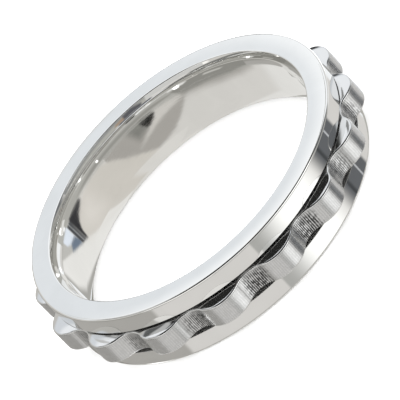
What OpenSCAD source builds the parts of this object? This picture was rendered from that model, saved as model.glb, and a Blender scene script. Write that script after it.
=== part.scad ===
// Spinner ring: a one-piece base band with a channel round it, and a wavy spinner band that turns in the channel.
// The ring lies on its back face. Z is the axis of the finger hole, and z = 0 is the back face.

/* [Base band] */
// Diameter of the finger hole
finger_d = 19; // [14:0.1:23]
// Width of the band along the finger
band_w = 4.6; // [4:0.1:10]
// Wall between the finger hole and the channel's floor
floor_wall = 0.65; // [0.45:0.05:1.5]
// Width of each flange
flange_w = 1.3; // [0.8:0.05:1.8]
// Height of the flanges over the channel's floor
flange_h = 1.05; // [0.6:0.05:1.6]
// Radius of the small round on the flanges' edges
edge_r = 0.08; // [0.02:0.01:0.3]

/* [Comfort fit] */
// Length of the curve at each end of the finger hole
comfort_len = 1; // [0.4:0.1:1.8]
// How much wider the hole's radius is at its ends
comfort_rise = 0.24; // [0.1:0.01:0.4]

/* [Spinner band] */
// How far the crests stand out over the flanges
crest_out = 0.9; // [0.5:0.05:1.4]
// Height of a wave from its valley to its crest
wave_h = 0.95; // [0.5:0.05:1.2]
// Number of waves round the band
waves = 16; // [8:1:18]
// Radius of the hollow of each valley
valley_r = 1.35; // [0.8:0.05:1.6]
// Angle that the band is turned to, counted from +X
spin_angle = 6; // [0:0.5:22.5]

/* [Fits] */
// Clearance of the spinner band on the channel's floor, on the radius
spin_gap = 0.1; // [0.05:0.01:0.2]
// Clearance of the spinner band at each side of the channel
side_gap = 0.1; // [0.05:0.01:0.4]

/* [Hidden] */
$fn = 192;

finger_r = finger_d / 2;
floor_r = finger_r + floor_wall;
outer_r = floor_r + flange_h;
channel_w = band_w - 2 * flange_w;
comfort_r = (comfort_len * comfort_len + comfort_rise * comfort_rise) / (2 * comfort_rise);

bore_r = floor_r + spin_gap;
spinner_w = channel_w - 2 * side_gap;
spinner_z = flange_w + side_gap;
crest_top = outer_r + crest_out;
valley_bottom = crest_top - wave_h;
cut_past = 1;

// The outline is made of crest arcs and valley arcs that touch each other.
// The valley arcs are centred outside the band, and the radius of a crest arc follows from the touch.
pitch = 360 / waves;
valley_c = valley_bottom + valley_r;
valley_x = valley_c * cos(pitch / 2);
crest_r = (crest_top * crest_top + valley_c * valley_c - 2 * crest_top * valley_x - valley_r * valley_r)
    / (2 * (crest_top - valley_x + valley_r));
crest_c = crest_top - crest_r;

// What a round of radius r takes off a corner that lies at the origin, with the body towards +X and +Y
module corner_waste(r) {
    difference() {
        translate([-r, -r]) square(2 * r);
        translate([r, r]) circle(r);
    }
}

// What the comfort fit takes off the inner wall at the back end
module comfort_waste() {
    difference() {
        translate([finger_r - comfort_rise, -comfort_len]) square([2 * comfort_rise, 2 * comfort_len]);
        translate([finger_r + comfort_r, comfort_len]) circle(comfort_r);
    }
}

// Half of the band's section, seen along the rim: r is X and z is Y
module band_section() {
    difference() {
        translate([finger_r, 0]) square([outer_r - finger_r, band_w]);
        translate([floor_r, flange_w]) square([flange_h + cut_past, channel_w]);
        for (end = [0, 1])
            translate([0, end * band_w]) mirror([0, end]) {
                comfort_waste();
                translate([outer_r, 0]) mirror([1, 0]) corner_waste(edge_r);
                translate([outer_r, flange_w]) mirror([1, 1]) corner_waste(edge_r);
            }
    }
}

module base_band() {
    color("gainsboro") rotate_extrude() band_section();
}

// Outline of the spinner band: the zigzag joins the centres of the arcs, and crosses each touch at a right angle
module wave_outline() {
    difference() {
        union() {
            polygon([for (i = [0:waves - 1], half = [0, 1])
                let (a = (i + half / 2) * pitch, r = half == 0 ? crest_c : valley_c) r * [cos(a), sin(a)]]);
            for (i = [0:waves - 1]) rotate(i * pitch) translate([crest_c, 0]) circle(crest_r);
        }
        for (i = [0:waves - 1]) rotate((i + 0.5) * pitch) translate([valley_c, 0]) circle(valley_r);
    }
}

module spinner_band() {
    color("silver") translate([0, 0, spinner_z]) rotate(spin_angle)
        difference() {
            linear_extrude(spinner_w) wave_outline();
            translate([0, 0, -cut_past]) cylinder(h = spinner_w + 2 * cut_past, r = bore_r);
        }
}

base_band();
spinner_band();
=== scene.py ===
# Spinner ring lying on its back face. Units are metres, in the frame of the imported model.
import math

import bpy
from mathutils import Matrix, Vector


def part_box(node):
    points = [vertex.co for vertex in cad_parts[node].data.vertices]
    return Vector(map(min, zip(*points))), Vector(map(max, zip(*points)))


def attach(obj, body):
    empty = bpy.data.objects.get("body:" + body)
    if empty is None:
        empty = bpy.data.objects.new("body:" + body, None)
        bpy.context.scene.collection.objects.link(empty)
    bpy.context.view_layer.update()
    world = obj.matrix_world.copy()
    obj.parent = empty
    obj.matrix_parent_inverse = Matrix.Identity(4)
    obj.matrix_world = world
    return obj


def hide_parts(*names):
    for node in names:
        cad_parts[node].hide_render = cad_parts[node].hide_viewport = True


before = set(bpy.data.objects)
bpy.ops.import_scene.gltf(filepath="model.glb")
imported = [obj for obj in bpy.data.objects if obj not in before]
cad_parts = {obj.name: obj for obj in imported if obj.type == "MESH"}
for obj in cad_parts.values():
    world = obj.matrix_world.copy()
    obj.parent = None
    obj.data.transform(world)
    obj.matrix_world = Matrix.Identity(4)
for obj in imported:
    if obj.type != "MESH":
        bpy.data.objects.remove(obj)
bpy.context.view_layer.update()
mm = 0.001
axisUp = Vector((0, 0, 1))

bandLow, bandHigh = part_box("base_band")
spinnerLow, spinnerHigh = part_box("spinner_band")


# camera: the photo's long lens, turned on its side
cameraSetup = {
    "lens": 376.9,
    "sensor": 36,
    "clip": (0.01, 50),       # nearest and farthest thing that shows
    "elevation": 31.85,       # degrees above the floor
    "roll": -43.51,           # degrees, how far the ring is turned in the picture
    "distance": 252.22 * mm,  # from the point aimed at
    "aim": (-0.04 * mm, -4.10 * mm, 4.6 * mm),
}


def makeCamera(setup):
    up = math.radians(setup["elevation"])
    back = Vector((0, -math.cos(up), math.sin(up)))
    data = bpy.data.cameras.new("camera")
    data.lens = setup["lens"]
    data.sensor_width = setup["sensor"]
    data.clip_start, data.clip_end = setup["clip"]
    camera = bpy.data.objects.new("camera", data)
    bpy.context.scene.collection.objects.link(camera)
    roll = Matrix.Rotation(math.radians(setup["roll"]), 4, "Z").to_quaternion()
    camera.rotation_mode = "QUATERNION"
    camera.rotation_quaternion = back.to_track_quat("Z", "Y") @ roll
    camera.location = Vector(setup["aim"]) + back * setup["distance"]
    bpy.context.scene.camera = camera
    return camera.location.copy()


cameraSpot = makeCamera(cameraSetup)
print("camera set")


# mesh helpers: a run is a list of (point, normal, edge amount), and runs joined end to end close a section
def direction(deg):
    return math.cos(math.radians(deg)), math.sin(math.radians(deg))


def straight(start, end, normal, steps=1):
    return [(start.lerp(end, i / steps), normal, 0.0) for i in range(steps + 1)]


def rounded(centre, radius, out, fromDeg, toDeg, steps, edge=1.0):
    # an arc, with the edge amount highest half way along it
    run = []
    for i in range(steps + 1):
        c, s = direction(fromDeg + (toDeg - fromDeg) * i / steps)
        normal = out * c + axisUp * s
        run.append((centre + normal * radius, normal, edge * math.sin(math.pi * (0.15 + 0.7 * i / steps))))
    return run


def closeSection(runs):
    # gives (point, normal before, normal after, edge amount), with both normals where two runs meet
    section = []
    for k, run in enumerate(runs):
        lastOfBefore = runs[k - 1][-1]
        for i, (point, normal, edge) in enumerate(run[:-1]):
            before = normal if i else lastOfBefore[1]
            section.append((point, before, normal, edge if i else max(edge, lastOfBefore[2])))
    return section


def addPiece(name, mesh):
    piece = bpy.data.objects.new(name, mesh)
    bpy.context.scene.collection.objects.link(piece)
    return piece


def ringMesh(name, sections):
    count = len(sections[0])
    turns = len(sections)
    faces = []
    normals = []
    for k in range(turns):
        n = (k + 1) % turns
        for j in range(count):
            i = (j + 1) % count
            faces.append((k * count + j, n * count + j, n * count + i, k * count + i))
            normals += [sections[k][j][2], sections[n][j][2], sections[n][i][1], sections[k][i][1]]
    mesh = bpy.data.meshes.new(name)
    mesh.from_pydata([corner[0] for loop in sections for corner in loop], [], faces)
    mesh.polygons.foreach_set("use_smooth", [True] * len(faces))
    edgeAmount = mesh.attributes.new("edgeAmount", "FLOAT", "POINT")
    edgeAmount.data.foreach_set("value", [corner[3] for loop in sections for corner in loop])
    mesh.normals_split_custom_set(normals)
    mesh.update()
    return addPiece(name, mesh)


# base band: one piece of steel with the channel turned into it
baseBand = {
    "fingerRadius": 9.5 * mm,
    "floorRadius": 10.15 * mm,
    "flangeWidth": 1.3 * mm,
    "comfortLength": 1.0 * mm,
    "comfortRise": 0.24 * mm,
    "rimRound": 0.17 * mm,      # outer edges of the two faces
    "channelRound": 0.02 * mm,  # outer edges of the channel
    "holeRound": 0.10 * mm,     # where the faces meet the finger hole
    "buffedFrom": 10.1 * mm,    # buffing rolls the faces off from here to the rim
    "buffedDeg": 3.0,
    "turns": 480,               # sections round the ring
}


def flareArc(b):
    # centre and radius of the comfort fit's arc at the front end
    radius = (b["comfortLength"] ** 2 + b["comfortRise"] ** 2) / (2 * b["comfortRise"])
    return b["fingerRadius"] + radius, bandHigh.z - b["comfortLength"], radius


def baseBandSection(b):
    def at(across, along):
        return Vector((across, 0, along))

    out = Vector((1, 0, 0))
    width = bandHigh.z - bandLow.z
    outer = (bandHigh.x - bandLow.x) / 2
    rim = b["rimRound"]
    lip = b["channelRound"]
    hole = b["holeRound"]
    flange = b["flangeWidth"]
    floorR = b["floorRadius"]
    flareAcross, flareAlong, flare = flareArc(b)
    holeAlong = width - hole
    holeAcross = flareAcross - math.sqrt((flare - hole) ** 2 - (holeAlong - flareAlong) ** 2)
    holeDeg = math.degrees(math.asin((holeAlong - flareAlong) / (flare - hole)))
    buffed = b["buffedDeg"]
    buffCos, buffSin = direction(buffed)
    rimAcross = outer - rim
    buffR = (rimAcross + rim * buffSin - b["buffedFrom"]) / buffSin
    drop = (buffR - rim) * (1 - buffCos)
    return closeSection([
        straight(at(holeAcross, 0), at(b["buffedFrom"], 0), -axisUp, 4),
        rounded(at(b["buffedFrom"], buffR), buffR, out, -90, -90 + buffed, 6, edge=0),
        rounded(at(rimAcross, rim + drop), rim, out, -90 + buffed, 0, 6),
        straight(at(outer, rim + drop), at(outer, flange - lip), out, 3),
        rounded(at(outer - lip, flange - lip), lip, out, 0, 90, 5),
        straight(at(outer - lip, flange), at(floorR, flange), axisUp, 3),
        straight(at(floorR, flange), at(floorR, width - flange), out, 3),
        straight(at(floorR, width - flange), at(outer - lip, width - flange), -axisUp, 3),
        rounded(at(outer - lip, width - flange + lip), lip, out, -90, 0, 5),
        straight(at(outer, width - flange + lip), at(outer, width - rim - drop), out, 3),
        rounded(at(rimAcross, width - rim - drop), rim, out, 0, 90 - buffed, 6),
        rounded(at(b["buffedFrom"], width - buffR), buffR, out, 90 - buffed, 90, 6, edge=0),
        straight(at(b["buffedFrom"], width), at(holeAcross, width), axisUp, 4),
        rounded(at(holeAcross, holeAlong), hole, out, 90, 180 - holeDeg, 6),
        rounded(at(flareAcross, flareAlong), flare, out, 180 - holeDeg, 180, 14, edge=0),
        straight(at(b["fingerRadius"], flareAlong), at(b["fingerRadius"], b["comfortLength"]), -out, 6),
        rounded(at(flareAcross, b["comfortLength"]), flare, out, 180, 180 + holeDeg, 14, edge=0),
        rounded(at(holeAcross, hole), hole, out, 180 + holeDeg, 270, 6),
    ])


def turned(section, turns):
    # the section repeated round the axis
    loops = []
    for k in range(turns):
        turn = Matrix.Rotation(2 * math.pi * k / turns, 3, "Z")
        loops.append([(turn @ point, turn @ before, turn @ after, edge)
                      for point, before, after, edge in section])
    return loops


polishedBand = ringMesh("polished_base_band", turned(baseBandSection(baseBand), baseBand["turns"]))
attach(polishedBand, "base")
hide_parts("base_band")
print("base band made")


# spinner band: crest arcs and valley arcs that touch, with softened edges
spinner = {
    "waves": 16,
    "spinAngle": 6.0,
    "crestOut": 0.9 * mm,      # how far the crests stand out over the flanges
    "waveHeight": 0.95 * mm,
    "valleyRadius": 1.35 * mm,
    "boreGap": 0.1 * mm,       # clearance on the channel's floor
    "edgeRound": 0.16 * mm,
    "boreRound": 0.05 * mm,
    "sideRoll": 0.72 * mm,     # the sides roll off towards the waves over this width
    "sideDeg": 13.5,
    "crestSteps": 14,          # from a crest's top to where it touches a valley
    "valleySteps": 14,         # from there to the valley's lowest point
}


def waveOutline(s):
    # points and outward normals once round the band
    halfPitch = 180 / s["waves"]
    top = bandHigh.x + s["crestOut"]
    valleyR = s["valleyRadius"]
    valleyC = top - s["waveHeight"] + valleyR
    valleyX, valleyY = (valleyC * f for f in direction(halfPitch))
    crestR = (top ** 2 + valleyC ** 2 - 2 * top * valleyX - valleyR ** 2) / (2 * (top - valleyX + valleyR))
    crestC = top - crestR
    touchDeg = math.degrees(math.atan2(valleyY, valleyX - crestC))
    half = []
    for i in range(s["crestSteps"]):
        c, t = direction(touchDeg * i / s["crestSteps"])
        half.append((Vector((crestC + crestR * c, crestR * t, 0)), Vector((c, t, 0))))
    for i in range(s["valleySteps"] + 1):
        c, t = direction(touchDeg + (halfPitch - touchDeg) * i / s["valleySteps"])
        half.append((Vector((valleyX - valleyR * c, valleyY - valleyR * t, 0)), Vector((c, t, 0))))
    flip = Matrix.Diagonal((1, -1, 1))
    wave = [(flip @ point, flip @ normal) for point, normal in reversed(half[1:-1])] + half
    outline = []
    for k in range(s["waves"]):
        turn = Matrix.Rotation(math.radians(s["spinAngle"] + 2 * halfPitch * k), 3, "Z")
        outline += [(turn @ point, turn @ normal) for point, normal in wave]
    return outline


def spinnerSection(s, point, normal):
    low = axisUp * spinnerLow.z
    high = axisUp * spinnerHigh.z
    edge = s["edgeRound"]
    inner = s["boreRound"]
    rollDeg = s["sideDeg"]
    rollCos, rollSin = direction(rollDeg)
    roll = s["sideRoll"] / rollSin
    drop = (roll - edge) * (1 - rollCos)
    radial = point.normalized()
    rim = point - normal * edge
    crown = rim - normal * (roll - edge) * rollSin
    wall = radial * (baseBand["floorRadius"] + s["boreGap"])
    bore = wall + radial * inner
    foot = low + axisUp * (edge + drop)
    head = high - axisUp * (edge + drop)
    return closeSection([
        straight(bore + low, crown + low, -axisUp, 2),
        rounded(crown + low + axisUp * roll, roll, normal, -90, -90 + rollDeg, 5, edge=0),
        rounded(rim + foot, edge, normal, -90 + rollDeg, 0, 5),
        straight(point + foot, point + head, normal, 4),
        rounded(rim + head, edge, normal, 0, 90 - rollDeg, 5),
        rounded(crown + high - axisUp * roll, roll, normal, 90 - rollDeg, 90, 5, edge=0),
        straight(crown + high, bore + high, axisUp, 2),
        rounded(bore + high - axisUp * inner, inner, radial, 90, 180, 4),
        straight(wall + high - axisUp * inner, wall + low + axisUp * inner, -radial, 2),
        rounded(bore + low + axisUp * inner, inner, radial, 180, 270, 4),
    ])


waveBand = ringMesh("wave_spinner_band", [spinnerSection(spinner, p, n) for p, n in waveOutline(spinner)])
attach(waveBand, "spinner")
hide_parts("spinner_band")
print("spinner band made")


# shader helpers
noiseRange = (0.3, 0.7)  # where most of a noise texture's values lie


def addNode(tree, kind, inputs=None, **settings):
    made = tree.nodes.new(kind)
    for name, value in settings.items():
        setattr(made, name, value)
    for name, value in (inputs or {}).items():
        if isinstance(value, bpy.types.NodeSocket):
            tree.links.new(value, made.inputs[name])
        else:
            made.inputs[name].default_value = value
    return made


def calc(tree, operation, first, second=0.0, clamp=False):
    made = addNode(tree, "ShaderNodeMath", {0: first, 1: second}, operation=operation, use_clamp=clamp)
    return made.outputs[0]


def vectorCalc(tree, operation, inputs, output="Vector"):
    return addNode(tree, "ShaderNodeVectorMath", inputs, operation=operation).outputs[output]


def split(tree, vector):
    return addNode(tree, "ShaderNodeSeparateXYZ", {0: vector}).outputs


def noise(tree, vector, scale, **settings):
    inputs = {"Vector": vector, "Scale": scale}
    inputs.update({label.capitalize(): value for label, value in settings.items()})
    return addNode(tree, "ShaderNodeTexNoise", inputs).outputs[0]


def remap(tree, value, fromLow, fromHigh, toLow=0.0, toHigh=1.0, smooth=False):
    kind = "SMOOTHSTEP" if smooth else "LINEAR"
    limits = {"Value": value, "From Min": fromLow, "From Max": fromHigh, "To Min": toLow, "To Max": toHigh}
    return addNode(tree, "ShaderNodeMapRange", limits, interpolation_type=kind).outputs[0]


def blend(tree, factor, first, second):
    # a colour mix has its factor at socket 0 and its colours at 6 and 7
    made = addNode(tree, "ShaderNodeMix", data_type="RGBA")
    for index, value in ((0, factor), (6, first), (7, second)):
        if isinstance(value, bpy.types.NodeSocket):
            tree.links.new(value, made.inputs[index])
        else:
            made.inputs[index].default_value = value
    return made.outputs[2]


def newGroup(name, inputs, outputs):
    group = bpy.data.node_groups.new(name, "ShaderNodeTree")
    for label, kind, value in inputs:
        group.interface.new_socket(label, in_out="INPUT", socket_type=kind).default_value = value
    for label, kind in outputs:
        group.interface.new_socket(label, in_out="OUTPUT", socket_type=kind)
    return group, group.nodes.new("NodeGroupInput").outputs, group.nodes.new("NodeGroupOutput")


def useGroup(tree, group, inputs=None):
    return addNode(tree, "ShaderNodeGroup", inputs, node_tree=group).outputs


# where a point of the metal is on the ring, in millimetres
ringPlace, given, result = newGroup("ringPlace", [], [
    ("Around", "NodeSocketVector"), ("Out", "NodeSocketFloat"), ("Along", "NodeSocketFloat"),
    ("Spot", "NodeSocketVector")])
coordinates = addNode(ringPlace, "ShaderNodeTexCoord").outputs["Object"]
placeInMm = vectorCalc(ringPlace, "SCALE", {0: coordinates, "Scale": 1 / mm})
onPlane = vectorCalc(ringPlace, "MULTIPLY", {0: placeInMm, 1: (1, 1, 0)})
for label, source in (
        ("Around", vectorCalc(ringPlace, "NORMALIZE", {0: onPlane})),
        ("Out", vectorCalc(ringPlace, "LENGTH", {0: onPlane}, "Value")),
        ("Along", split(ringPlace, placeInMm)["Z"]),
        ("Spot", placeInMm)):
    ringPlace.links.new(source, result.inputs[label])


# hairlines that the polishing wheel leaves round the ring
polishLines, given, result = newGroup("polishLines", [
    ("Fineness", "NodeSocketFloat", 14.0), ("Wander", "NodeSocketFloat", 2.5)],
    [("Lines", "NodeSocketFloat")])
place = useGroup(polishLines, ringPlace)
drift = split(polishLines, vectorCalc(polishLines, "SCALE", {0: place["Around"], "Scale": given["Wander"]}))
across = calc(polishLines, "ADD", place["Out"], place["Along"])
acrossLines = calc(polishLines, "MULTIPLY", across, given["Fineness"])
lineSpot = addNode(polishLines, "ShaderNodeCombineXYZ", {"X": drift["X"], "Y": drift["Y"], "Z": acrossLines})
lineNoise = noise(polishLines, lineSpot.outputs[0], 1.0, detail=4.0, roughness=0.62)
polishLines.links.new(remap(polishLines, lineNoise, *noiseRange), result.inputs["Lines"])


# soft patches where the metal has been handled
smudges, given, result = newGroup("smudges", [("Size", "NodeSocketFloat", 2.0)],
                                  [("Smudge", "NodeSocketFloat")])
place = useGroup(smudges, ringPlace)
perMm = calc(smudges, "DIVIDE", 1.0, given["Size"])
smudgeNoise = noise(smudges, place["Spot"], perMm, detail=3.0, roughness=0.55, distortion=0.6)
smudges.links.new(remap(smudges, smudgeNoise, 0.35, 0.68, smooth=True), result.inputs["Smudge"])


# tiny dulled spots along the rounded edges
edgeWear, given, result = newGroup("edgeWear", [("Size", "NodeSocketFloat", 0.25)],
                                   [("Wear", "NodeSocketFloat")])
place = useGroup(edgeWear, ringPlace)
perMm = calc(edgeWear, "DIVIDE", 1.0, given["Size"])
wearNoise = noise(edgeWear, place["Spot"], perMm, detail=3.0, roughness=0.6)
edgeAmount = addNode(edgeWear, "ShaderNodeAttribute", attribute_name="edgeAmount").outputs["Fac"]
wornSpots = remap(edgeWear, wearNoise, 0.45, 0.75, 0.35, 1.0, smooth=True)
edgeWear.links.new(calc(edgeWear, "MULTIPLY", edgeAmount, wornSpots, clamp=True), result.inputs["Wear"])


# 1 on the walls of the channel and 0 elsewhere
channelPlace, given, result = newGroup("channelPlace", [
    ("Low", "NodeSocketFloat", 1.29), ("High", "NodeSocketFloat", 3.31),
    ("Inner", "NodeSocketFloat", 10.14), ("Outer", "NodeSocketFloat", 11.19)],
    [("Inside", "NodeSocketFloat")])
place = useGroup(channelPlace, ringPlace)
inside = calc(channelPlace, "GREATER_THAN", place["Along"], given["Low"])
for comparison, measure, limit in (("LESS_THAN", "Along", "High"), ("GREATER_THAN", "Out", "Inner"),
                                   ("LESS_THAN", "Out", "Outer")):
    within = calc(channelPlace, comparison, place[measure], given[limit])
    inside = calc(channelPlace, "MULTIPLY", inside, within)
channelPlace.links.new(inside, result.inputs["Inside"])


# lines across the band, left by the cutter that shapes the waves, and painted shade: their colour, nearly
# black, darkens the valleys and leans onto one flank.
# Each side says where the lines are whole, where they fade, and how much of their depth is left there.
cutterFade = {
    "frontSide": (2.55, 3.15, 0.25),  # millimetres up the band
    "faintSide": (0.5, 0.92, 0.55),    # 1 at the side where the lines fade most, -1 opposite it
    "farSide": (-0.2, -0.45, 0.6),
}

cutterLinesAndShade, given, result = newGroup("cutterLinesAndShade", [
    ("Lines round", "NodeSocketFloat", 560.0), ("Wander", "NodeSocketFloat", 5.0),
    ("Flank lean", "NodeSocketFloat", 0.2), ("Crest side", "NodeSocketFloat", 11.58),
    ("Valley side", "NodeSocketFloat", 11.22), ("Faint side", "NodeSocketVector", (0.985, -0.174, 0))],
    [("Lines", "NodeSocketFloat"), ("Valley", "NodeSocketFloat")])
place = useGroup(cutterLinesAndShade, ringPlace)
spotParts = split(cutterLinesAndShade, place["Spot"])
roundTurn = calc(cutterLinesAndShade, "ARCTAN2", spotParts["Y"], spotParts["X"])
wanderNoise = noise(cutterLinesAndShade, place["Spot"], 1.3, detail=3.0, roughness=0.6)
wandered = calc(cutterLinesAndShade, "MULTIPLY", wanderNoise, given["Wander"])
linePhase = calc(cutterLinesAndShade, "MULTIPLY", roundTurn, given["Lines round"])
lineWave = calc(cutterLinesAndShade, "SINE", calc(cutterLinesAndShade, "ADD", wandered, linePhase))
breakNoise = noise(cutterLinesAndShade, place["Spot"], 4.0, detail=2.0)
lineWave = calc(cutterLinesAndShade, "ADD", lineWave, remap(cutterLinesAndShade, breakNoise, *noiseRange, -1.0, 1.0))
cutterLinesAndShade.links.new(remap(cutterLinesAndShade, lineWave, -1.1, 0.6, smooth=True), result.inputs["Lines"])
surface = addNode(cutterLinesAndShade, "ShaderNodeTexCoord").outputs["Normal"]
lean = split(cutterLinesAndShade, vectorCalc(cutterLinesAndShade, "CROSS_PRODUCT", {0: place["Around"], 1: surface}))["Z"]
depthNoise = noise(cutterLinesAndShade, place["Spot"], 3.0, detail=3.0)
ragged = remap(cutterLinesAndShade, depthNoise, *noiseRange, -0.1, 0.1)
lowSpot = calc(cutterLinesAndShade, "ADD", place["Out"], ragged)
# leaning the valley onto one flank puts the painted shade there too
lowSpot = calc(cutterLinesAndShade, "ADD", lowSpot, calc(cutterLinesAndShade, "MULTIPLY", lean, given["Flank lean"]))
valley = remap(cutterLinesAndShade, lowSpot, given["Crest side"], given["Valley side"], smooth=True)
towardsFaint = vectorCalc(cutterLinesAndShade, "DOT_PRODUCT", {0: place["Around"], 1: given["Faint side"]}, "Value")
# the lines and their painted shade fade towards the front and towards two opposite sides of the band
for measure, side in ((place["Along"], "frontSide"), (towardsFaint, "faintSide"), (towardsFaint, "farSide")):
    whole, faded, depthLeft = cutterFade[side]
    depth = remap(cutterLinesAndShade, measure, whole, faded, 1.0, depthLeft, smooth=True)
    valley = calc(cutterLinesAndShade, "MULTIPLY", valley, depth)
cutterLinesAndShade.links.new(valley, result.inputs["Valley"])


def newMaterial(name):
    material = bpy.data.materials.new(name)
    material.use_nodes = True
    tree = material.node_tree
    tree.nodes.clear()
    output = tree.nodes.new("ShaderNodeOutputMaterial")
    return material, tree, output


polished = {
    "steel": (0.86, 0.86, 0.85, 1),
    "handled": (0.80, 0.80, 0.79, 1),
    "handledBySmudge": 0.4,
    "handledByWear": 0.5,
    "roughness": 0.02,
    "lineRoughness": 0.035,
    "wearRoughness": 0.06,
    "channelRoughness": 0.4,    # the channel stays as it was turned
    "channelSlack": 0.01 * mm,  # how closely the channel's finish keeps to its walls
    "lineFineness": 14.0,       # lines in a millimetre
    "lineWander": 2.5,
    "smudgeSize": 2.5,          # millimetres
    "wearSize": 0.25,           # millimetres
    "bump": 0.04,
    "bumpDepth": 0.002 * mm,
}

polishedSteel, tree, output = newMaterial("polished steel")
lines = useGroup(tree, polishLines, {"Fineness": polished["lineFineness"],
                                     "Wander": polished["lineWander"]})["Lines"]
smudge = useGroup(tree, smudges, {"Size": polished["smudgeSize"]})["Smudge"]
wear = useGroup(tree, edgeWear, {"Size": polished["wearSize"]})["Wear"]
roughness = calc(tree, "MULTIPLY", calc(tree, "MULTIPLY", lines, smudge), polished["lineRoughness"])
roughness = calc(tree, "ADD", roughness, polished["roughness"])
roughness = calc(tree, "ADD", roughness, calc(tree, "MULTIPLY", wear, polished["wearRoughness"]))
inChannel = useGroup(tree, channelPlace, {
    "Low": (baseBand["flangeWidth"] - polished["channelSlack"]) / mm,
    "High": (bandHigh.z - baseBand["flangeWidth"] + polished["channelSlack"]) / mm,
    "Inner": (baseBand["floorRadius"] - polished["channelSlack"]) / mm,
    "Outer": (bandHigh.x - polished["channelSlack"]) / mm})["Inside"]
roughness = calc(tree, "ADD", roughness, calc(tree, "MULTIPLY", inChannel, polished["channelRoughness"]))
handledBySmudge = calc(tree, "MULTIPLY", smudge, polished["handledBySmudge"])
handledByWear = calc(tree, "MULTIPLY", wear, polished["handledByWear"])
tint = calc(tree, "ADD", handledBySmudge, handledByWear, clamp=True)
bump = addNode(tree, "ShaderNodeBump", {"Height": lines, "Strength": polished["bump"],
                                        "Distance": polished["bumpDepth"]})
metal = addNode(tree, "ShaderNodeBsdfPrincipled", {
    "Base Color": blend(tree, tint, polished["steel"], polished["handled"]),
    "Metallic": 1.0, "Roughness": roughness, "Normal": bump.outputs[0]})
tree.links.new(metal.outputs[0], output.inputs["Surface"])
polishedBand.data.materials.append(polishedSteel)


satin = {
    "steel": (0.72, 0.725, 0.73, 1),
    # nearly black: the cutter lines' colour, which also paints the shade in the valleys
    "grooveAndShade": (0.045, 0.045, 0.045, 1),
    "roughness": 0.165,
    "lineRoughness": 0.08,
    "sideRoughness": 0.06,
    "wearRoughness": 0.10,
    "smudgeRoughness": 0.03,
    "linesRound": 560.0,       # once round the band
    "lineWander": 5.0,
    "crestLines": 0.12,        # how strong the cutter lines stay on the crests
    "sideFacing": (0.3, 0.8),  # the waves' finish turns into the sides' between these slopes
    "smudgeSize": 1.2,         # millimetres
    "wearSize": 0.2,           # millimetres
    "bump": 0.8,
    "bumpDepth": 0.012 * mm,
}

satinSteel, tree, output = newMaterial("satin steel")
cutAndShadeMasks = useGroup(tree, cutterLinesAndShade, {"Lines round": satin["linesRound"], "Wander": satin["lineWander"]})
smudge = useGroup(tree, smudges, {"Size": satin["smudgeSize"]})["Smudge"]
wear = useGroup(tree, edgeWear, {"Size": satin["wearSize"]})["Wear"]
facing = split(tree, addNode(tree, "ShaderNodeNewGeometry").outputs["Normal"])["Z"]
onSide = remap(tree, calc(tree, "ABSOLUTE", facing), *satin["sideFacing"], smooth=True)
onWave = calc(tree, "SUBTRACT", 1.0, onSide)
cutAndShadeDepth = calc(tree, "MULTIPLY", onWave, remap(tree, cutAndShadeMasks["Valley"], 0.0, 1.0, satin["crestLines"], 1.0))
cutAndShadeMark = calc(tree, "MULTIPLY", cutAndShadeDepth, cutAndShadeMasks["Lines"])
roughness = calc(tree, "MULTIPLY", onWave, satin["roughness"])
roughness = calc(tree, "ADD", roughness, calc(tree, "MULTIPLY", cutAndShadeMark, satin["lineRoughness"]))
roughness = calc(tree, "ADD", roughness, calc(tree, "MULTIPLY", wear, satin["wearRoughness"]))
roughness = calc(tree, "ADD", roughness, calc(tree, "MULTIPLY", smudge, satin["smudgeRoughness"]))
roughness = calc(tree, "ADD", roughness, satin["sideRoughness"])
bump = addNode(tree, "ShaderNodeBump", {"Height": cutAndShadeMark, "Strength": satin["bump"],
                                        "Distance": satin["bumpDepth"]})
# painted shade: the cutter lines turn the base colour nearly black, most in the valleys and on one flank
metal = addNode(tree, "ShaderNodeBsdfPrincipled", {
    "Base Color": blend(tree, cutAndShadeMark, satin["steel"], satin["grooveAndShade"]),
    "Metallic": 1.0, "Roughness": roughness, "Normal": bump.outputs[0]})
tree.links.new(metal.outputs[0], output.inputs["Surface"])
waveBand.data.materials.append(satinSteel)
print("steel finishes made")


# studio: a white floor, soft light on it, and a dome of light that only the metal mirrors
studio = {
    "floorSize": 3.0,
    "floorDrop": 0.01 * mm,       # under the ring's back face
    "floorColour": (0.93, 0.93, 0.93, 1),
    "floorRoughness": 0.9,
    "roomLight": 2.2,
    "domeSize": 4.0,
    "domeTone": (209, 207, 204),  # between the cards
}


def linear(level):
    # a brightness as it shows on the screen, 0 to 255, as light off the steel
    f = level / 255
    return (f / 12.92 if f <= 0.04045 else ((f + 0.055) / 1.055) ** 2.4) / polished["steel"][0]


def onlyMirrored(piece):
    piece.visible_camera = False
    piece.visible_diffuse = False
    piece.visible_shadow = False
    piece.visible_transmission = False
    piece.visible_volume_scatter = False


def discMesh(name, radius, height, steps=96):
    ring = [(radius * c, radius * s, height) for c, s in (direction(360 * i / steps) for i in range(steps))]
    mesh = bpy.data.meshes.new(name)
    mesh.from_pydata(ring, [], [tuple(range(steps))])
    return addPiece(name, mesh)


floor = discMesh("floor", studio["floorSize"], -studio["floorDrop"])
floor.visible_glossy = False
whiteFloor, tree, output = newMaterial("white floor")
paper = addNode(tree, "ShaderNodeBsdfPrincipled", {
    "Base Color": studio["floorColour"], "Roughness": studio["floorRoughness"], "Specular IOR Level": 0.0})
tree.links.new(paper.outputs[0], output.inputs["Surface"])
floor.data.materials.append(whiteFloor)

room = bpy.data.worlds.new("room")
room.use_nodes = True
bpy.context.scene.world = room
room.node_tree.nodes["Background"].inputs["Color"].default_value = (1, 1, 1, 1)
room.node_tree.nodes["Background"].inputs["Strength"].default_value = studio["roomLight"]


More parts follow.
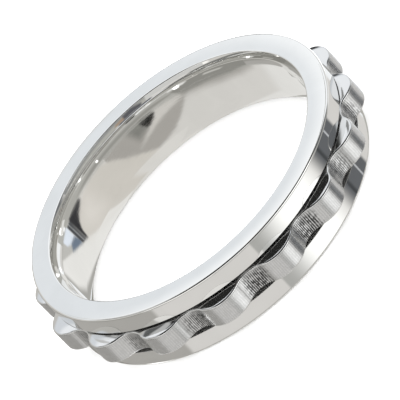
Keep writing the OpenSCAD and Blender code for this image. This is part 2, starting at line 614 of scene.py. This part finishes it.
def domeMesh(name, radius, rows=32, columns=64):
    # a whole ball, with its two poles as the first points
    points = [(0, 0, -radius), (0, 0, radius)]
    for r in range(1, rows):
        c, s = direction(-90 + 180 * r / rows)
        for k in range(columns):
            x, y = direction(360 * k / columns)
            points.append((radius * c * x, radius * c * y, radius * s))
    faces = []
    for k in range(columns):
        n = (k + 1) % columns
        faces.append((0, 2 + n, 2 + k))
        faces.append((1, 2 + (rows - 2) * columns + k, 2 + (rows - 2) * columns + n))
        for r in range(rows - 2):
            start = 2 + r * columns
            faces.append((start + k, start + n, start + columns + n, start + columns + k))
    mesh = bpy.data.meshes.new(name)
    mesh.from_pydata(points, [], faces)
    return addPiece(name, mesh)


# a soft-edged patch of the dome: round is degrees from the camera's side towards +X, height is degrees up
softCard, given, result = newGroup("softCard", [
    ("Round", "NodeSocketFloat", 0.0), ("Height", "NodeSocketFloat", 0.0),
    ("Left", "NodeSocketFloat", -10.0), ("Left soft", "NodeSocketFloat", 2.0),
    ("Right", "NodeSocketFloat", 10.0), ("Right soft", "NodeSocketFloat", 2.0),
    ("Bottom", "NodeSocketFloat", -90.0), ("Top", "NodeSocketFloat", 0.0),
    ("Level soft", "NodeSocketFloat", 2.0)],
    [("Mask", "NodeSocketFloat")])


def softStep(tree, value, edge, soft):
    # 0 below the edge and 1 above it, over the given softness
    slope = calc(tree, "DIVIDE", calc(tree, "SUBTRACT", value, edge), soft)
    return remap(tree, slope, -0.5, 0.5, smooth=True)


mask = softStep(softCard, given["Round"], given["Left"], given["Left soft"])
for measure, label, soft, flipped in (("Round", "Right", "Right soft", True),
                                      ("Height", "Bottom", "Level soft", False),
                                      ("Height", "Top", "Level soft", True)):
    side = softStep(softCard, given[measure], given[label], given[soft])
    side = calc(softCard, "SUBTRACT", 1.0, side) if flipped else side
    mask = calc(softCard, "MULTIPLY", mask, side)
softCard.links.new(mask, result.inputs["Mask"])

# cards of light on the dome, each laid over those before it. A span is (left, softness, right, softness) and
# a level is (bottom, top, softness), in degrees. A tone over 255 is brighter than white.
domeCards = {
    "leftShade": {"span": (-200, 1, -74, 4), "level": (-80, -2, 3), "tone": (167, 165, 161)},
    "greyRamp": {"span": (3, 2, 30, 26), "level": (-80, -2, 4), "tone": (170, 170, 167)},
    "softBox": {"span": (21, 30, 63, 27), "level": (-80, -2, 4), "tone": (268, 268, 266)},
    "darkScreen": {"span": (72, 14, 106, 4), "level": (-42, -20, 3), "tone": (98, 100, 103)},
    "screenSeam": {"span": (94.5, 0.8, 96, 0.8), "level": (-80, -8, 6), "tone": (185, 187, 190)},
    "screenEdge": {"span": (79, 2, 82, 3), "level": (-80, -8, 6), "tone": (70, 72, 74)},
    "rightGlow": {"span": (146, 6, 168, 8), "level": (-80, -2, 6), "tone": (236, 238, 240)},
    "lowShade": {"span": (-200, 1, 200, 1), "level": (-22, -14, 4), "tone": (150, 149, 144)},
    "tableLight": {"span": (-60, 10, 110, 10), "level": (-13, -7, 3), "tone": (190, 190, 187)},
    "lowGlow": {"span": (106, 6, 176, 6), "level": (-27, -11, 3), "tone": (238, 240, 241)},
    "edgeGlow": {"span": (140, 5, 176, 5), "level": (-27, -11, 3), "tone": (360, 362, 364)},
    "tableEdge": {"span": (-112, 12, -56, 8), "level": (-6, 5, 3), "tone": (122, 122, 119)},
    "greyWall": {"span": (8, 6, 104, 8), "level": (-8, 6, 4), "tone": (156, 155, 150)},
    "darkNook": {"span": (-24, 4, 6, 4), "level": (-3, 9, 3), "tone": (98, 100, 104)},
    "highLeft": {"span": (-200, 1, -74, 4), "level": (6, 31, 3), "tone": (202, 200, 195)},
    "highMiddle": {"span": (-74, 4, 3, 2), "level": (6, 33, 3), "tone": (252, 250, 246)},
    "highRamp": {"span": (3, 2, 30, 26), "level": (6, 33, 3), "tone": (205, 205, 202)},
    "highWhite": {"span": (21, 30, 66, 10), "level": (6, 33, 3), "tone": (310, 310, 308)},
    "highDark": {"span": (72, 14, 106, 4), "level": (6, 33, 3), "tone": (110, 112, 115)},
    "overhead": {"span": (-200, 1, 200, 1), "level": (33, 95, 3), "tone": (222, 226, 230)},
    "backLeft": {"span": (-200, 1, -118, 10), "level": (24, 95, 6), "tone": (222, 226, 230)},
    "backRight": {"span": (106, 10, 200, 1), "level": (12, 95, 6), "tone": (222, 226, 230)},
    "farRight": {"span": (110, 20, 175.5, 9), "level": (22, 95, 6), "tone": (250, 252, 254)},
    "brightTop": {"span": (-200, 1, 200, 1), "level": (37, 95, 8), "tone": (250, 252, 254)},
    "besideCamera": {"span": (-128, 8, 110, 16), "level": (33.5, 86, 3), "tone": (104, 105, 105)},
    "cameraSide": {"span": (-76, 8, 104, 16), "level": (33.5, 86, 3), "tone": (44, 44, 43)},
    "overCamera": {"span": (-128, 8, 110, 16), "level": (58, 88, 8), "tone": (24, 24, 24)},
    "sideGrey": {"span": (-125, 10, -68, 8), "level": (42, 57, 4), "tone": (205, 205, 204)},
    "backLineRight": {"span": (166, 6, 200, 1), "level": (-28, 20, 4), "tone": (70, 71, 72)},
    "backLineLeft": {"span": (-200, 1, -177, 3), "level": (-28, 20, 4), "tone": (70, 71, 72)},
    "nadir": {"span": (-200, 1, 200, 1), "level": (-95, -42, 8), "tone": (214, 212, 208)},
}

lightDome = domeMesh("light_dome", studio["domeSize"])
onlyMirrored(lightDome)
domeLight, tree, output = newMaterial("dome light")
spot = addNode(tree, "ShaderNodeTexCoord").outputs["Object"]
spotParts = split(tree, spot)
reach = vectorCalc(tree, "LENGTH", {0: vectorCalc(tree, "MULTIPLY", {0: spot, 1: (1, 1, 0)})}, "Value")
backwards = calc(tree, "MULTIPLY", spotParts["Y"], -1.0)
roundDeg = calc(tree, "DEGREES", calc(tree, "ARCTAN2", spotParts["X"], backwards))
heightDeg = calc(tree, "DEGREES", calc(tree, "ARCTAN2", spotParts["Z"], reach))
light = tuple(linear(v) for v in studio["domeTone"]) + (1,)
for card in domeCards.values():
    left, leftSoft, right, rightSoft = card["span"]
    bottom, top, levelSoft = card["level"]
    mask = useGroup(tree, softCard, {
        "Round": roundDeg, "Height": heightDeg, "Left": left, "Left soft": leftSoft, "Right": right,
        "Right soft": rightSoft, "Bottom": bottom, "Top": top, "Level soft": levelSoft})["Mask"]
    light = blend(tree, mask, light, tuple(linear(v) for v in card["tone"]) + (1,))
glow = addNode(tree, "ShaderNodeEmission", {"Color": light, "Strength": 1.0})
tree.links.new(glow.outputs[0], output.inputs["Surface"])
lightDome.data.materials.append(domeLight)
domeLight.cycles.emission_sampling = "NONE"


# paper cards round the ring, each laid over those before it. Corners are (degrees round, mm up) on the
# finger hole's wall, where the camera sees the card mirrored. Softness is in mm there.
holeCards = {
    "rightPaper": {"tone": (208, 206, 202), "soft": 0.1,
        "corners": [(180, -1), (0, -1), (0, 5), (180, 5)]},
    "rightFade": {"tone": (160, 157, 152), "soft": 0.45,
        "corners": [(68, 3.15), (60, 3.0), (50, 2.8), (40, 2.95), (33, 3.35), (31, 3.8), (68, 3.8)]},
    "rightEnd": {"tone": (220, 219, 216), "soft": 0.6,
        "corners": [(31, -1), (25, 5), (0, 5), (0, -1)]},
    "leftPaper": {"tone": (229, 228, 225), "soft": 0.25,
        "corners": [(180, 3.7), (158, 3.6), (150, 2.75), (140, 1.9), (135, 1.6), (126, 1.05), (108, 0.75),
                    (96, 0.6), (96, -1), (180, -1)]},
    "leftEnd": {"tone": (166, 165, 161), "soft": 0.45,
        "corners": [(180, 5), (166, 5), (165.5, 2), (161, 1.1), (156, 0.4), (155, -1), (180, -1)]},
    "leftGrey": {"tone": (188, 187, 183), "soft": 0.08,
        "corners": [(162, 3.9), (158, 3.5), (150, 2.75), (145, 2.35), (143, 4)]},
    "blueWhite": {"tone": (224, 231, 241), "soft": 0.12,
        "corners": [(148.5, 4), (147.5, 3.1), (144.5, 2.75), (140, 2.65), (139.8, 4)]},
    "blueShade": {"tone": (112, 124, 140), "soft": 0.15,
        "corners": [(147.5, 2.5), (144.5, 2.8), (140, 2.7), (138.5, 2.0), (140, 1.9)]},
    "darkScreen": {"tone": (76, 78, 81), "soft": 0.05,
        "corners": [(139.9, 3.5), (139.3, 1.85), (134.8, 1.55), (134.3, 3.5)]},
    "screenSeam": {"tone": (150, 152, 154), "soft": 0.03,
        "corners": [(138.4, 3.5), (137.9, 3.5), (137.4, 1.7), (137.8, 1.7)]},
    "lowLight": {"tone": (214, 212, 208), "soft": 0.12,
        "corners": [(112, 0.8), (98, 0.82), (82, 0.85), (74, 0.8), (72, -1), (112, -1)]},
    "middlePaper": {"tone": (203, 199, 192), "soft": 0.05,
        "corners": [(135, 1.62), (134.6, 2.2), (132.9, 2.62), (130.2, 2.94), (126, 3.22), (119, 3.42),
                    (110, 3.42), (106.5, 3.2), (103.5, 2.85), (100, 2.3), (96.5, 1.9), (90, 1.25),
                    (87.4, 1.05), (94, 0.88), (105, 0.7), (118, 0.72), (126, 0.95), (131, 1.2)]},
    "middleLight": {"tone": (217, 213, 207), "soft": 1.1,
        "corners": [(133, 1.7), (132.5, 2.7), (128, 3.05), (122, 3.1), (119, 1.4), (126, 1.15)]},
    "blackCorner": {"tone": (56, 56, 58), "soft": 0.07,
        "corners": [(136.2, 3.62), (135.8, 1.8), (135, 1.75), (134.5, 2.25), (132.8, 2.66), (130.2, 2.97),
                    (126.5, 3.22), (124.5, 3.4), (127, 3.62)]},
    "greyRibbon": {"tone": (165, 162, 157), "soft": 0.05,
        "corners": [(106.5, 3.8), (106.5, 3.2), (103.5, 2.85), (100, 2.3), (96.5, 1.9), (90, 1.25),
                    (87.4, 1.05), (83, 1.17), (78, 1.42), (73.5, 1.9), (70, 2.4), (66.5, 3.0), (63.5, 3.3),
                    (62, 3.8)]},
    "darkFan": {"tone": (126, 126, 121), "soft": 0.35,
        "corners": [(95, 4), (91, 2.5), (86, 2.7), (81, 3.2), (80, 4)]},
    "lightStreak": {"tone": (202, 199, 194), "soft": 0.06,
        "corners": [(93.5, 1.92), (86, 2.6), (81, 3.12), (79.5, 3.5), (66, 3.5), (65.5, 3.25), (70, 3.0),
                    (80, 2.62), (91.5, 2.02)]},
    "blackWedge": {"tone": (14, 13, 12), "soft": 0.05,
        "corners": [(87.6, 3.36), (85.7, 2.8), (84, 2.77), (81.2, 3.06), (79.4, 3.38), (82, 3.46),
                    (86, 3.46)]},
    "flareGrey": {"tone": (172, 171, 166), "soft": 0.04,
        "corners": [(180, 3.55), (150, 3.5), (140, 3.57), (128, 3.54), (108, 3.46), (96, 3.44), (88, 3.47),
                    (80, 3.44), (74, 3.4), (60, 3.2), (45, 3.15), (34, 3.5), (0, 3.7), (0, 4.7),
                    (180, 4.7)]},
    "flareShade": {"tone": (150, 149, 144), "soft": 0.06,
        "corners": [(126, 3.68), (114, 3.62), (96, 3.62), (72, 3.66), (68, 3.72), (80, 3.84), (96, 3.84),
                    (114, 3.82)]},
    "underShade": {"tone": (140, 139, 134), "soft": 0.09,
        "corners": [(67, 3.25), (60, 3.2), (44, 3.25), (34, 3.6), (34, 4.1), (62, 4.1), (70, 3.8)]},
    "leftStreak": {"tone": (180, 180, 176), "soft": 0.06,
        "corners": [(158, 3.65), (143, 3.6), (142, 4.1), (158, 4.1)]},
    "sunStreak": {"tone": (226, 226, 223), "soft": 0.05,
        "corners": [(71, 3.9), (64, 3.84), (62, 3.92), (66, 4.05), (71, 4.05)]},
    "paleStreak": {"tone": (190, 189, 184), "soft": 0.04,
        "corners": [(55, 3.78), (47, 3.75), (45, 3.85), (54, 3.88)]},
    "topPale": {"tone": (202, 202, 200), "soft": 0.05,
        "corners": [(79, 4.1), (62, 4.2), (56, 4.3), (40, 4.42), (40, 4.8), (79, 4.8)]},
    "topShade": {"tone": (140, 141, 140), "soft": 0.08,
        "corners": [(142, 4.38), (126, 4.36), (114, 4.44), (92, 4.44), (79, 4.5), (79, 4.9), (142, 4.9)]},
    "brownSpot": {"tone": (160, 142, 126), "soft": 0.07,
        "corners": [(95, 4.3), (90, 4.22), (88, 4.3), (90, 4.45), (94, 4.42)]},
    "darkSpot": {"tone": (92, 92, 96), "soft": 0.08,
        "corners": [(90, 4.1), (82, 4.1), (81, 4.4), (86, 4.55), (90, 4.5)]},
    "starLamp": {"tone": (330, 330, 330), "soft": 0.07,
        "corners": [(145.6, 3.86), (144.6, 3.74), (143.2, 3.74), (142, 3.86), (142.6, 4.1), (145.2, 4.1)]},
    "starGlow": {"tone": (255, 257, 260), "soft": 0.09,
        "corners": [(142.6, 3.62), (140.9, 3.62), (140.6, 3.74), (141.6, 3.84), (142.8, 3.76)]},
    "leftLamp": {"tone": (420, 420, 420), "soft": 0.04,
        "corners": [(109.3, 3.76), (108.5, 3.76), (108.5, 3.85), (109.3, 3.85)]},
    "rightLamp": {"tone": (420, 420, 420), "soft": 0.06,
        "corners": [(67.8, 3.83), (66.0, 3.83), (65.6, 3.92), (66.0, 4.1), (67.8, 4.1), (68.2, 3.92)]},
}

holeCardSetup = {
    "stepDeg": 0.35,
    # where on the wall, how far the papers stand from the axis and how far they hang down
    "stretches": [
        {"round": (11.5, 168.5), "up": (0.75, 3.6), "rows": 57, "radius": 24 * mm, "skirt": 60 * mm},
        {"round": (34, 150), "up": (3.6, 4.0), "rows": 10, "radius": 12 * mm, "skirt": 0.01 * mm},
        {"round": (8, 16.5), "up": (1.2, 2.8), "rows": 30, "radius": 9.9 * mm, "skirt": 0.01 * mm},
        {"round": (52, 128), "up": (4.27, 4.585), "rows": 20, "radius": 11.5 * mm, "skirt": 0.01 * mm},
    ],
    "clearLow": -0.3 * mm,  # no card stands between these two heights, beside the ring
    "clearHigh": 6.2 * mm,
}


def cover(corners, x, y, soft):
    # how far a card covers a point: 1 well inside, 0 outside, with a soft edge
    inside = False
    nearest = math.inf
    for k, (x1, y1) in enumerate(corners):
        x0, y0 = corners[k - 1]
        if (y0 > y) != (y1 > y) and x < (x1 - x0) * (y - y0) / (y1 - y0) + x0:
            inside = not inside
        dx, dy = x1 - x0, y1 - y0
        along = max(0, min(1, ((x - x0) * dx + (y - y0) * dy) / (dx * dx + dy * dy)))
        nearest = min(nearest, math.hypot(x - x0 - along * dx, y - y0 - along * dy))
    level = max(0, min(1, 0.5 + (nearest if inside else -nearest) / (2 * soft)))
    return level * level * (3 - 2 * level)


def mirroredSpot(b, deg, up, radius):
    # where the camera looks off a point of the finger hole's wall, at a distance from the axis
    flareAcross, flareAlong, flare = flareArc(b)
    c, s = direction(deg)
    rise = max(0, up - flareAlong)
    level = math.sqrt(flare ** 2 - rise ** 2)
    wall = Vector((c * (flareAcross - level), s * (flareAcross - level), up))
    inward = Vector((-c, -s, rise / level)).normalized()
    look = (wall - cameraSpot).normalized().reflect(inward)
    flat = look.xy.length_squared
    half = wall.xy.dot(look.xy)
    reach = math.sqrt(half ** 2 - flat * (wall.xy.length_squared - radius ** 2))
    return wall + look * ((reach - half) / flat)


def holeCardMesh(name, setup, cards, b):
    perDeg = math.radians(1) * b["fingerRadius"] / mm
    shapes = []
    for card in cards.values():
        corners = [(deg * perDeg, up) for deg, up in card["corners"]]
        xs = [c[0] for c in corners]
        ys = [c[1] for c in corners]
        soft = card["soft"]
        limits = (min(xs) - soft, max(xs) + soft, min(ys) - soft, max(ys) + soft)
        shapes.append((corners, limits, soft, [linear(v) for v in card["tone"]]))
    points = []
    tones = []
    faces = []
    for stretch in setup["stretches"]:
        fromDeg, toDeg = stretch["round"]
        low, high = stretch["up"]
        columns = round((toDeg - fromDeg) / setup["stepDeg"])
        rows = stretch["rows"] + 2
        first = len(points)
        for i in range(columns + 1):
            deg = fromDeg + (toDeg - fromDeg) * i / columns
            for j in range(stretch["rows"] + 1):
                up = low + (high - low) * j / stretch["rows"]
                spot = mirroredSpot(b, deg, up * mm, stretch["radius"])
                if j == 0:
                    points.append(spot - axisUp * stretch["skirt"])
                points.append(spot)
                tone = [0, 0, 0]
                for corners, (x0, x1, y0, y1), soft, colour in shapes:
                    if x0 < deg * perDeg < x1 and y0 < up < y1:
                        f = cover(corners, deg * perDeg, up, soft)
                        tone = [t + (v - t) * f for t, v in zip(tone, colour)]
                tones += (tone + [1]) * (2 if j == 0 else 1)
        for i in range(columns):
            for j in range(rows - 1):
                start = first + i * rows + j
                face = (start, start + rows, start + rows + 1, start + 1)
                if not any(setup["clearLow"] < points[k].z < setup["clearHigh"] for k in face):
                    faces.append(face)
    mesh = bpy.data.meshes.new(name)
    mesh.from_pydata(points, [], faces)
    mesh.attributes.new("tone", "FLOAT_COLOR", "POINT").data.foreach_set("color", tones)
    return addPiece(name, mesh)


paperCards = holeCardMesh("paper_cards", holeCardSetup, holeCards, baseBand)
onlyMirrored(paperCards)
cardLight, tree, output = newMaterial("card light")
tone = addNode(tree, "ShaderNodeAttribute", attribute_name="tone").outputs["Color"]
tree.links.new(addNode(tree, "ShaderNodeEmission", {"Color": tone}).outputs[0], output.inputs["Surface"])
paperCards.data.materials.append(cardLight)
cardLight.cycles.emission_sampling = "NONE"

bpy.context.scene.view_settings.view_transform = "Standard"
print("studio lit")
